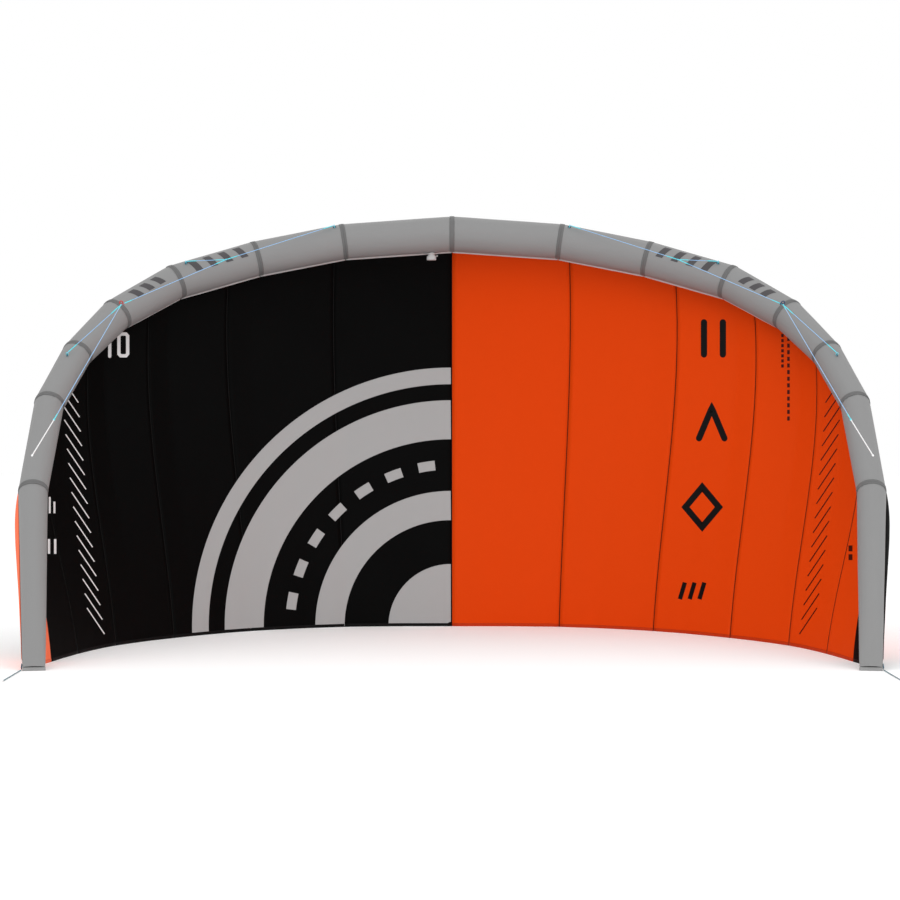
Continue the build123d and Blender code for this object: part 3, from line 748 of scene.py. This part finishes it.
def woven(name, rgb, pitch):
    """Heavier plain-woven polyester, as on the tube and its tapes."""
    material = base_material(name, rgb, 0.62, sheen=0.02)
    uv = metric_map(material)
    soft = add_bump(material, noise_texture(material, uv, 0.06, 5.0), 0.0012, 0.4)
    add_bump(material, crossed(material, uv, "ADD", ("X", pitch), ("Y", pitch)), 0.00012, 0.6, soft)
    vary_roughness(material, uv, 0.12, 0.56, 0.72)
    return material


def webbing(name, rgb, pitch):
    """Plain weave on a piece that has no metric map."""
    material = base_material(name, rgb, 0.62, sheen=0.01, shine=0.12)
    where = object_space(material)
    add_bump(material, crossed(material, where, "ADD", ("X", pitch), ("Z", pitch)), 0.00015, 0.7)
    vary_roughness(material, where, 0.05, 0.56, 0.72)
    return material


def stitched(name, rgb, rows):
    """Woven tape with rows of stitches at distances across it."""
    material = base_material(name, rgb, 0.6, sheen=0.01, shine=0.12)
    uv = metric_map(material)
    split = add_node(material, "ShaderNodeSeparateXYZ", {}, {"Vector": uv})
    turn = combine(material, "FRACT", combine(material, "DIVIDE", split.outputs["Y"], STITCH_PITCH))
    on_thread = combine(material, "LESS_THAN", turn, 0.62)
    height = None
    for row in rows:
        near = combine(material, "ABSOLUTE", combine(material, "SUBTRACT", split.outputs["X"], row))
        line = combine(material, "LESS_THAN", near, 0.0006)
        height = line if height is None else combine(material, "MAXIMUM", height, line)
    under = add_bump(material, combine(material, "MULTIPLY", height, on_thread), 0.0005, 1.0)
    add_bump(material, crossed(material, uv, "ADD", ("X", 0.0009), ("Y", 0.0009)), 0.0001, 0.6, under)
    return material


def braided(name, rgb):
    """Braided line: crossing ridges about the line."""
    material = base_material(name, rgb, 0.5, sheen=0.2)
    where = object_space(material)
    braid = crossed(material, where, "MULTIPLY", ("DIAGONAL", 0.0016), ("X", 0.0011))
    add_bump(material, braid, 0.0003, 0.8)
    return material


def moulded(name, rgb, roughness):
    """Moulded plastic or rubber with a faint grain."""
    material = base_material(name, rgb, roughness)
    where = object_space(material)
    add_bump(material, noise_texture(material, where, 0.0012, 2.0), 0.00008, 0.6)
    vary_roughness(material, where, 0.02, roughness - 0.05, roughness + 0.08)
    return material


def printed(name, rgb):
    """Ink on the cloth; the thread grid still shows through."""
    material = base_material(name, rgb, 0.48, shine=0.12)
    uv = metric_map(material)
    add_bump(material, thread_grid(material, uv), 0.00015, 0.6)
    vary_roughness(material, uv, 0.2, 0.44, 0.54)
    return material


# ---- prints

CAMERA_X = -0.010
CAMERA_DISTANCE = 10.27
CAMERA_HEIGHT = 0.905
EYE = Vector((CAMERA_X, APEX_Y - CAMERA_DISTANCE, CAMERA_HEIGHT))
PRINT_LIFT = 0.0008


def cloth_tree():
    """Search tree of the cloth, without the gaps at its seams."""
    verts, faces = [], []
    stations = steps(0.0, LAST_STATION, LAST_STATION * PANEL_COLUMNS)
    for side in SIDES.values():
        faces += grid_faces(len(stations), len(CHORD_SHARES), offset=len(verts))
        verts += [cloth_point(side, s, v, CLOTH_LOW) for s in stations for v in CHORD_SHARES]
    return BVHTree.FromPolygons(verts, faces)


CLOTH_TREE = cloth_tree()


def on_cloth(across, height):
    """Where the eye sees a point of the front elevation on the cloth, and the normal there."""
    aim = (Vector((across, APEX_Y, height)) - EYE).normalized()
    spot, normal, _, _ = CLOTH_TREE.ray_cast(EYE, aim)
    if spot is None:
        return None
    if normal.dot(aim) > 0:
        normal = -normal
    return spot, normal


def resampled(points, step):
    """Points of a polyline, at most a step apart."""
    result = [points[0]]
    for a, b in zip(points, points[1:]):
        count = max(1, math.ceil((b - a).length / step))
        result += steps(a, b, count)[1:]
    return result


def stroke_rows(points, width, step, round_ends=False):
    """Rows of a stroke of even width along a polyline."""
    line = resampled([Vector(p) for p in points], step)
    closed = (line[0] - line[-1]).length < 1e-6
    before_first = line[-2] if closed else 2 * line[0] - line[1]
    after_last = line[1] if closed else 2 * line[-1] - line[-2]
    ways = steps(-1, 1, max(2, math.ceil(width / step) + 1))
    rows = []
    for before, here, after in zip([before_first] + line, line, line[1:] + [after_last]):
        ahead = (after - here).normalized()
        behind = (here - before).normalized()
        along = (ahead + behind).normalized()
        stretch = 1 / max(0.5, math.sqrt((1 + ahead.dot(behind)) / 2))
        square = Vector((-along.y, along.x)) * (width / 2 * stretch)
        rows.append([here + square * way for way in ways])
    if round_ends:
        rows = rounded_cap(rows[0], line[0] - line[1], width)[::-1] + rows
        rows += rounded_cap(rows[-1], line[-1] - line[-2], width)
    return rows


def rounded_cap(row, outward_way, width):
    """Half-round end of a stroke."""
    way = outward_way.normalized()
    middle = (row[0] + row[-1]) / 2
    cap = []
    for angle in (30, 55, 75, 90):
        turn = math.radians(angle)
        reach = way * (math.sin(turn) * width / 2)
        cap.append([middle + (p - middle) * max(0.02, math.cos(turn)) + reach for p in row])
    return cap


def print_on_cloth(name, strokes, ink):
    """Ink on both faces of the cloth, from rows of points of the front elevation."""
    verts, faces, uvs = [], [], []
    for rows in strokes:
        for lift in (PRINT_LIFT, CLOTH_LOW - CLOTH_HIGH - PRINT_LIFT):
            index = {}
            for r, row in enumerate(rows):
                for c, (across, height) in enumerate(row):
                    hit = on_cloth(across, height)
                    if hit is not None:
                        spot, normal = hit
                        index[(r, c)] = len(verts)
                        verts.append(spot + normal * lift)
                        uvs.append((across, height))
            for r, c in index:
                keys = [(r, c), (r + 1, c), (r + 1, c + 1), (r, c + 1)]
                if all(key in index for key in keys):
                    quad = [index[key] for key in keys]
                    faces.append(quad if lift > 0 else quad[::-1])
    goes_with(new_object(name, verts, faces, ink, uvs))


def arc(centre_x, radius, first, last, count):
    """Arc about a point at the height of the tips, in degrees from the span direction."""
    angles = [math.radians(degrees) for degrees in steps(first, last, count)]
    return [(centre_x + radius * math.cos(turn), radius * math.sin(turn)) for turn in angles]


MARK_SLANT = 0.06
MARK_LOW = 8
MARK_HIGH = 62
MARK_WIDTH = 0.036


def tube_mark(side, joint):
    """Rows of a slanted bar on the tube, between two heights in degrees above the level."""
    rows = []
    for share in steps(0.0, 1.0, 14):
        place_on = joint + MARK_SLANT * share
        segment = min(int(place_on), LAST_SEGMENT)
        length = segment_length(side, segment)
        turn = math.radians(mix(MARK_LOW, MARK_HIGH, share))
        angle = angle_of(side, segment, Vector((0, -math.cos(turn), math.sin(turn))))
        row = []
        for across in steps(-0.5, 0.5, 4):
            distance = (place_on - segment) * length + MARK_WIDTH * across
            lift = pucker(side, segment, distance, length, angle) + 0.0005
            row.append(tube_point(side, segment, distance, angle, lift))
        rows.append(row)
    return rows


def surface_of_rows(name, groups, material):
    """One mesh made of several grids of points."""
    verts, faces = [], []
    for rows in groups:
        faces += grid_faces(len(rows), len(rows[0]), offset=len(verts))
        verts += [point for row in rows for point in row]
    return new_object(name, verts, faces, material, [(point.x, point.z) for point in verts])


# ---- cords and their fittings

LINE_RADIUS = 0.0015
PIGTAIL_RADIUS = 0.0022
SLEEVE_RADIUS = 0.0023
CORD_END_GAP = 0.0025
SPLICE_LENGTH = 0.060
SPLICE_START = 0.008
REAR_END_PROFILE = [(0.0, 0.0019), (0.002, 0.0026), (0.028, 0.0026), (0.031, 0.0018)]


def tied_cord(name, start, end, radius, material):
    """Taut open curve that stops a little short of the points it is tied to, and its length."""
    gap = (end - start).normalized() * CORD_END_GAP
    data = bpy.data.curves.new(name, "CURVE")
    data.dimensions = "3D"
    data.bevel_depth = radius
    data.bevel_resolution = 4
    data.use_fill_caps = True
    data.materials.append(material)
    spline = data.splines.new("NURBS")
    shares = steps(0.0, 1.0, 4)
    spline.points.add(len(shares) - 1)
    for point, share in zip(spline.points, shares):
        point.co = (*mix(start + gap, end - gap, share), 1.0)
    spline.order_u = 3
    spline.use_endpoint_u = True
    return add_object(name, data), (end - start).length - 2 * CORD_END_GAP


def cross_directions(axis):
    """Two directions square to an axis and to each other."""
    helper = Vector((0, 0, 1)) if abs(axis.z) < 0.9 else Vector((1, 0, 0))
    first = axis.cross(helper).normalized()
    return first, axis.cross(first).normalized()


def lathe(name, start, axis, profile, material, sides):
    """Turned solid along an axis; the profile holds distances along it and radii."""
    first, second = cross_directions(axis)
    verts, uvs = [], []
    for along, radius in profile:
        for i, turn in enumerate(turns(sides)):
            verts.append(start + axis * along + (first * math.cos(turn) + second * math.sin(turn)) * radius)
            uvs.append((i / sides * 0.02, along))
    faces = grid_faces(len(profile), sides, closed=True)
    faces.append(list(range(sides)))
    faces.append([(len(profile) - 1) * sides + i for i in reversed(range(sides))])
    return new_object(name, verts, faces, material, uvs)


RING_SIDES = 28
CORD_SIDES = 10
RING_PULL = 1.5


def ring(centre, axis, major, minor, material, stretch=None):
    """Round loop of cord about an axis, or one drawn out along a direction."""
    first, second = cross_directions(axis)
    pull = 1.0
    if stretch is not None:
        first, second, pull = stretch, axis.cross(stretch).normalized(), RING_PULL
    verts, uvs = [], []
    for i, turn in enumerate(turns(RING_SIDES)):
        out = first * math.cos(turn) * pull + second * math.sin(turn)
        for k, tilt in enumerate(turns(CORD_SIDES)):
            skin = out.normalized() * math.cos(tilt) + axis * math.sin(tilt)
            verts.append(centre + out * major + skin * minor)
            uvs.append((k / CORD_SIDES * 0.01, i / RING_SIDES * 0.03))
    quads = grid_faces(RING_SIDES + 1, CORD_SIDES, closed=True)
    faces = [[i % len(verts) for i in quad] for quad in quads]
    return new_object("loop", verts, faces, material, uvs)


def splice(start, end, material):
    """Doubled end of a line, thinner at both of its ends."""
    axis = (end - start).normalized()
    profile = [(0.0, LINE_RADIUS + 0.0002)]
    profile += [(along, SLEEVE_RADIUS) for along in steps(0.004, SPLICE_LENGTH - 0.012, 6)]
    profile += [(SPLICE_LENGTH, LINE_RADIUS + 0.0001)]
    return lathe("splice", start + axis * SPLICE_START, axis, profile, material, 16)


def knot(name, centre, axis, size, material):
    """Rounded, lumpy wrap about a line."""
    profile = []
    for turn in steps(0.0, math.pi, 12):
        lump = 1 + 0.16 * math.cos(turn * 6)
        profile.append((-math.cos(turn) * size * 1.5, max(0.0004, math.sin(turn) * size * lump)))
    return lathe(name, centre, axis, profile, material, 18)


# ---- surfaces

BLACK_CLOTH = ripstop("black_ripstop", 3, 0.62)
ORANGE_CLOTH = ripstop("orange_ripstop", (220, 66, 6), 0.6)
CORAL_CLOTH = ripstop("coral_ripstop", (250, 120, 84), 0.6)
TUBE_CLOTH = woven("tube_polyester", 138, 0.0008)
BAND_CLOTH = woven("joint_band", 106, 0.0010)
STRIP_CLOTH = stitched("closing_seam", 205, (0.004, 0.008))
BLACK_TAPE = stitched("black_tape", 12, (-0.0045, 0.0045))
DARK_TAPE = stitched("dark_tape", (40, 8, 2), (-0.0045, 0.0045))
HEM_ROWS = (0.003, 0.013)
HEMS = {
    BLACK_CLOTH: stitched("black_hem", 5, HEM_ROWS),
    ORANGE_CLOTH: stitched("orange_hem", (190, 52, 8), HEM_ROWS),
    CORAL_CLOTH: stitched("coral_hem", (232, 108, 76), HEM_ROWS),
}
BLUE_LINE = braided("blue_line", (150, 200, 246))
CYAN_SPLICE = braided("cyan_splice", (96, 224, 238))
WHITE_CORD = braided("white_cord", 244)
TEAL_CORD = braided("grey_teal_cord", (92, 122, 130))
NAVY_CORD = braided("navy_cord", (20, 38, 84))
RED_CORD = braided("red_cord", (190, 34, 30))
GREY_INK = printed("grey_ink", 166)
WHITE_INK = printed("white_ink", 225)
BLACK_INK = printed("black_ink", 2)
MAROON_INK = printed("maroon_ink", (60, 10, 2))
TUBE_INK = printed("tube_ink", (80, 78, 80))


def panel_material(side_name, seam):
    """The two halves differ, and the tip panels swap their colours."""
    if seam == LAST_STATION - 1:
        return CORAL_CLOTH if side_name == "left" else BLACK_CLOTH
    return BLACK_CLOTH if side_name == "left" else ORANGE_CLOTH


# ---- the kite

for side_name, side in SIDES.items():
    for seam in range(LAST_STATION):
        material = panel_material(side_name, seam)
        panel, width, length, area = canopy_panel(side_name, side, seam, material)
        stands_for(panel, f"canopy_panel_{side_name}_{seam + 1}")

# seam tapes on the outside, and the darker folded seams that show on the inside
tapes = [
    ribbon_on_cloth(side, seam, TAPE_HALF, TAPE_LOW, TAPE_HIGH, BLACK_TAPE)
    for side, seam in on_both_sides(LAST_STATION - 1)
]
stands_for(joined("seam_tapes", tapes), "panel_seam_tapes")
for side_name, side in SIDES.items():
    tape = DARK_TAPE if side > 0 else BLACK_TAPE
    folds = [
        ribbon_on_cloth(side, seam, SEAM_FOLD_HALF, FOLD_LOW, FOLD_HIGH, tape)
        for seam in range(1, LAST_STATION)
    ]
    goes_with(joined(f"seam_folds_{side_name}", folds))

for side_name, side in SIDES.items():
    for seam in range(LAST_STATION):
        hem = te_hem(side_name, side, seam, HEMS[panel_material(side_name, seam)])
        stands_for(hem, "trailing_edge_hem")
for side_name, side in SIDES.items():
    for segment in range(LAST_SEGMENT + 1):
        sleeve = le_segment(side_name, side, segment, TUBE_CLOTH)
        stands_for(sleeve, f"le_tube_{side_name}_{segment + 1}")

bands = [band(side, joint, BAND_CLOTH) for side, joint in on_both_sides(LAST_SEGMENT)]
stands_for(joined("joint_bands", bands), "le_joint_bands")
strips = [
    closing_strip(side, segment, STRIP_CLOTH)
    for side in SIDES.values()
    for segment in range(LAST_SEGMENT + 1)
]
stands_for(joined("closing_seams", strips), "le_closing_seam")

# ---- prints on the cloth and the tube

# three nested quarter rings and a solid quarter in the lower corner of the black half
EMBLEM_X = -0.006
emblem = []
for radius, width in ((1.285, 0.085), (1.06, 0.20), (0.62, 0.15)):
    emblem.append(stroke_rows(arc(EMBLEM_X, radius, 90, 184, 110), width, 0.022))
emblem.append([arc(EMBLEM_X, radius, 90, 184, 30) for radius in steps(0.0, 0.32, 14)])
for start in range(96, 180, 12):
    emblem.append(stroke_rows(arc(0.0, 0.83, start, start + 6, 8), 0.05, 0.02))
print_on_cloth("print_emblem", emblem, GREY_INK)

# the size numeral
NUMERAL_STROKE = 0.017
rounded_loop = [
    (-1.709, 1.490), (-1.700, 1.500), (-1.673, 1.500), (-1.664, 1.490),
    (-1.664, 1.398), (-1.673, 1.388), (-1.700, 1.388), (-1.709, 1.398), (-1.709, 1.490),
]
numeral = [
    stroke_rows([(-1.756, 1.505), (-1.756, 1.386)], NUMERAL_STROKE, 0.01, round_ends=True),
    stroke_rows(rounded_loop, NUMERAL_STROKE, 0.01),
]
print_on_cloth("print_numeral", numeral, WHITE_INK)

# rows of slanted ticks beside the outer seams
for side_name, side, ink, slot_name, width in (
    ("left", -1, WHITE_INK, "canopy_black", 0.0054),
    ("right", 1, MAROON_INK, "canopy_orange", 0.0052),
):
    ticks = []
    for k in range(17):
        foot = (side * (1.917 - 0.00546 * k - 0.000182 * k * k), 1.148 - 0.0742 * k)
        top = (foot[0] + side * 0.090, foot[1] + 0.134)
        ticks.append(stroke_rows([top, foot], width, 0.012))
    print_on_cloth(f"print_ticks_{side_name}", ticks, ink)

# upright row of plain shapes on the orange half
SHAPE_STROKE = 0.032
open_shapes = [
    [(1.293, 1.560), (1.293, 1.395)],
    [(1.390, 1.560), (1.390, 1.395)],
    [(1.268, 0.965), (1.333, 1.120), (1.398, 0.965)],
]
diamond = [(1.284, 0.715), (1.370, 0.612), (1.284, 0.510), (1.198, 0.612), (1.284, 0.715)]
shapes = [stroke_rows(points, SHAPE_STROKE, 0.014, round_ends=True) for points in open_shapes]
shapes.append(stroke_rows(diamond, SHAPE_STROKE, 0.014))
for k in range(3):
    shapes.append(stroke_rows([(1.170 + 0.05 * k, 0.140), (1.195 + 0.05 * k, 0.225)], 0.022, 0.012))
print_on_cloth("print_shapes", shapes, BLACK_INK)

# two upright rows of small dashes
dashes = []
for across, high, low, pitch in ((1.696, 1.500, 1.300, 0.026), (1.7265, 1.485, 1.040, 0.034)):
    for k in range(int((high - low) / pitch)):
        top = high - pitch * k
        dashes.append(stroke_rows([(across, top), (across, top - pitch * 0.62)], 0.013, 0.01))
for k in range(2):
    dashes.append(stroke_rows([(2.045, 0.415 - 0.045 * k), (2.045, 0.385 - 0.045 * k)], 0.020, 0.01))
print_on_cloth("print_dashes", dashes, MAROON_INK)

# small upright bars near the left tip
bars = [
    stroke_rows([(across, top), (across, foot)], width, 0.01)
    for across, top, foot, width in (
        (-2.064, 0.664, 0.580, 0.010),
        (-2.040, 0.640, 0.580, 0.010),
        (-2.068, 0.448, 0.372, 0.012),
        (-2.036, 0.448, 0.372, 0.012),
    )
]
print_on_cloth("print_bars", bars, WHITE_INK)

# slanted blocks along the upper front of the tube
for side_name, side in SIDES.items():
    places = [2.17 + 0.185 * k for k in range(9)]
    blocks = [tube_mark(side, joint) for joint in places if abs(joint - 3) > 0.10]
    goes_with(surface_of_rows(f"print_blocks_{side_name}", blocks, TUBE_INK))

# ---- bridle

LINES = {
    "inner": ("a", "j1"),
    "middle": ("b", "j1"),
    "link": ("j1", "j2"),
    "outer": ("c", "j2"),
    "main": ("j2", "e"),
}
PIGTAILS = {
    "front": ("e", "f", WHITE_CORD),
    "rear": ("rear_start", "rear_end", TEAL_CORD),
}


def pigtail_end(place_name, side_name, end, axis):
    """Knot of a front pigtail, or whipped sleeve of a rear one."""
    if place_name == "front":
        return knot(f"front_end_knot_{side_name}", end - axis * 0.006, axis, 0.0040, WHITE_CORD)
    name = f"rear_end_sleeve_{side_name}"
    return lathe(name, end - axis * 0.032, axis, REAR_END_PROFILE, WHITE_CORD, 16)


for side_name, side in SIDES.items():
    points = {key: place(side, *value) for key, value in BRIDLE.items()}
    splices = []
    for name, (first, last) in LINES.items():
        start, end = points[first], points[last]
        node = f"bridle_line_{name}_{side_name}"
        line, length = tied_cord(f"{node}_line", start, end, LINE_RADIUS, BLUE_LINE)
        stands_for(line, node)
        splices += [splice(start, end, CYAN_SPLICE), splice(end, start, CYAN_SPLICE)]
    stands_for(joined(f"splices_{side_name}", splices), "bridle_sleeves")

    along_main = (points["e"] - points["j2"]).normalized()
    along_link = (points["j2"] - points["j1"]).normalized()
    knot_sizes = (("j1", along_link, 0.0036), ("j2", along_main, 0.0040), ("e", along_main, 0.0042))
    knots = [knot("knot", points[key], along, size, CYAN_SPLICE) for key, along, size in knot_sizes]
    goes_with(joined(f"knots_{side_name}", knots))
    loop_cord = NAVY_CORD if side > 0 else RED_CORD
    loops = [
        ring(points["j2"] + Vector((0, 0, 0.010)), Vector((0, 1, 0)), 0.0075, 0.0022, loop_cord),
        ring(points["j2"] - along_link * 0.012, along_main, 0.0040, 0.0020, loop_cord),
    ]
    goes_with(joined(f"marker_loops_{side_name}", loops))
    eyes = []
    for joint, key in zip(TAB_JOINTS, ("a", "b", "c")):
        rise = (points[key] - le_axis(side, joint)[0]).normalized()
        along = le_direction(side, joint)
        eyes.append(ring(points[key] - rise * 0.005, along, 0.0052, 0.0014, CYAN_SPLICE, stretch=rise))
    goes_with(joined(f"tab_loops_{side_name}", eyes))

    for place_name, (first, last, cord_material) in PIGTAILS.items():
        start, end = points[first], points[last]
        body = f"{place_name}_pigtail_{side_name}"
        line, length = tied_cord(f"{body}_cord", start, end, PIGTAIL_RADIUS, cord_material)
        stands_for(line, body, body)
        end_piece = pigtail_end(place_name, side_name, end, (end - start).normalized())
        goes_with(end_piece, body)

# ---- pieces shown as they are in the frame

NODE_SURFACES = {
    "valve_neck": moulded("valve_plastic", 200, 0.42),
    "valve_cap": moulded("cap_plastic", 188, 0.38),
    "valve_flap": moulded("flap_rubber", (22, 22, 23), 0.6),
    "valve_hinge_pin": moulded("pin_steel", (170, 170, 172), 0.3),
    "valve_patch": webbing("valve_patch", 140, 0.0009),
    "webbing_tabs": webbing("tab_webbing", (70, 110, 130), 0.0012),
    "tip_flaps": webbing("tip_webbing", 150, 0.0012),
    "le_bladder": moulded("bladder_film", (215, 217, 220), 0.3),
}
for node, material in NODE_SURFACES.items():
    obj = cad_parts[node]
    obj.data.materials.clear()
    obj.data.materials.append(material)

# ---- room, light and camera

FLOOR_HALF = 60.0
FLOOR_HEIGHT = -0.0005


def studio_floor(material):
    """Wide flat floor without a wall, so the kite shows from every side."""
    mesh = bpy.data.meshes.new("studio_floor")
    corners = [(-1, -1), (1, -1), (1, 1), (-1, 1)]
    verts = [(x * FLOOR_HALF, y * FLOOR_HALF, FLOOR_HEIGHT) for x, y in corners]
    mesh.from_pydata(verts, [], [(0, 1, 2, 3)])
    mesh.materials.append(material)
    add_object("studio_floor", mesh)


def area_light(name, where, target, size, power):
    """Soft rectangular light that faces a target."""
    data = bpy.data.lights.new(name, "AREA")
    data.shape = "RECTANGLE"
    data.size, data.size_y = size
    data.energy = power
    obj = add_object(name, data)
    obj.location = where
    obj.rotation_euler = (Vector(target) - Vector(where)).to_track_quat("-Z", "Y").to_euler()


floor_material = base_material("studio_floor", 246, 0.9)
floor_sockets = floor_material.node_tree.nodes["Principled BSDF"].inputs
floor_sockets["Emission Color"].default_value = colour(255)
floor_sockets["Emission Strength"].default_value = 0.12
studio_floor(floor_material)
area_light("key_light", (-2.5, -6.0, 6.5), (0.0, 0.5, 1.0), (5.0, 4.0), 80.0)
area_light("fill_light", (3.5, -6.0, 5.0), (0.0, 0.5, 1.0), (5.0, 4.0), 62.0)
area_light("back_light", (0.0, 5.0, 6.0), (0.0, 1.0, 1.5), (6.0, 3.0), 50.0)

world = bpy.data.worlds.new("studio")
world.use_nodes = True
background = world.node_tree.nodes["Background"].inputs
background["Color"].default_value = colour(255)
background["Strength"].default_value = 1.0
bpy.context.scene.world = world
bpy.context.scene.view_settings.view_transform = "Standard"

camera_data = bpy.data.cameras.new("camera")
camera_data.lens = 80.08
camera_data.sensor_width = 36.0
camera_data.clip_end = 100.0
camera = add_object("camera", camera_data)
camera.location = EYE
camera.rotation_euler = (math.radians(90), 0.0, 0.0)
bpy.context.scene.camera = camera
